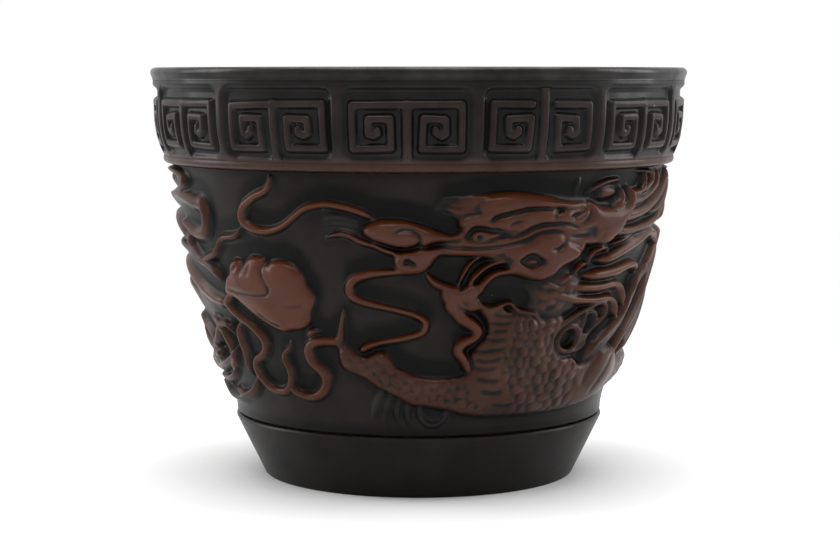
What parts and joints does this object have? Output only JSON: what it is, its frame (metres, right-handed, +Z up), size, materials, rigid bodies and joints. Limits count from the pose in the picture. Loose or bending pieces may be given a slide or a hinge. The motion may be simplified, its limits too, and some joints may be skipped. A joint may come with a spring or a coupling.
{
  "type": "drinking cup",
  "caption": "Small round drinking cup in moulded dark lacquer, with a key-fret collar, a dragon in relief among clouds, and a plain tapered foot.",
  "frame": {"origin": "centre of the foot's resting plane", "axes": "+Z up along the cup's axis; the front of the cup, where the dragon's head is, faces -Y"},
  "size_m": [0.075, 0.075, 0.057],
  "materials": {
    "black_lacquer": "satin black lacquer",
    "foot_lacquer": "satin black-brown lacquer, plain turned",
    "fret_lacquer": "satin black lacquer, brown where the frets are rubbed",
    "bead_lacquer": "satin red-brown lacquer",
    "relief_lacquer": "satin lacquer, red-brown on the high spots and black in the hollows",
    "core_wood": "turned hardwood, sealed in by the coats"
  },
  "bodies": {
    "root": {"band_bead": "bead_lacquer", "base_disc": "black_lacquer", "beard_back": "relief_lacquer", "beard_front": "relief_lacquer", "body_coil_back": "relief_lacquer", "body_coil_front": "relief_lacquer", "cloud_back": "relief_lacquer", "cloud_front": "relief_lacquer", "cloud_tail_lower_back": "relief_lacquer", "cloud_tail_lower_front": "relief_lacquer", "cloud_tail_upper_back": "relief_lacquer", "cloud_tail_upper_front": "relief_lacquer", "dragon_body_back": "relief_lacquer", "dragon_body_front": "relief_lacquer", "dragon_head_back": "relief_lacquer", "dragon_head_front": "relief_lacquer", "flame_strand_back": "relief_lacquer", "flame_strand_front": "relief_lacquer", "foot_ring": "foot_lacquer", "fret_band": "fret_lacquer", "fret_scroll_01": "fret_lacquer", "fret_scroll_02": "fret_lacquer", "fret_scroll_03": "fret_lacquer", "fret_scroll_04": "fret_lacquer", "fret_scroll_05": "fret_lacquer", "fret_scroll_06": "fret_lacquer", "fret_scroll_07": "fret_lacquer", "fret_scroll_08": "fret_lacquer", "fret_scroll_09": "fret_lacquer", "fret_scroll_10": "fret_lacquer", "fret_scroll_11": "fret_lacquer", "fret_scroll_12": "fret_lacquer", "fret_scroll_13": "fret_lacquer", "ground_wall": "black_lacquer", "inner_lining": "black_lacquer", "loop_curl_back": "relief_lacquer", "loop_curl_front": "relief_lacquer", "lower_jaw_back": "relief_lacquer", "lower_jaw_front": "relief_lacquer", "lower_whisker_back": "relief_lacquer", "lower_whisker_front": "relief_lacquer", "mane_strand_1_back": "relief_lacquer", "mane_strand_1_front": "relief_lacquer", "mane_strand_2_back": "relief_lacquer", "mane_strand_2_front": "relief_lacquer", "mane_strand_3_back": "relief_lacquer", "mane_strand_3_front": "relief_lacquer", "mane_strand_4_back": "relief_lacquer", "mane_strand_4_front": "relief_lacquer", "mane_strand_5_back": "relief_lacquer", "mane_strand_5_front": "relief_lacquer", "mane_strand_6_back": "relief_lacquer", "mane_strand_6_front": "relief_lacquer", "mane_sweep_back": "relief_lacquer", "mane_sweep_front": "relief_lacquer", "rim_lip": "black_lacquer", "upper_whisker_back": "relief_lacquer", "upper_whisker_front": "relief_lacquer", "wooden_core": "core_wood"}
  },
  "joints": []
}
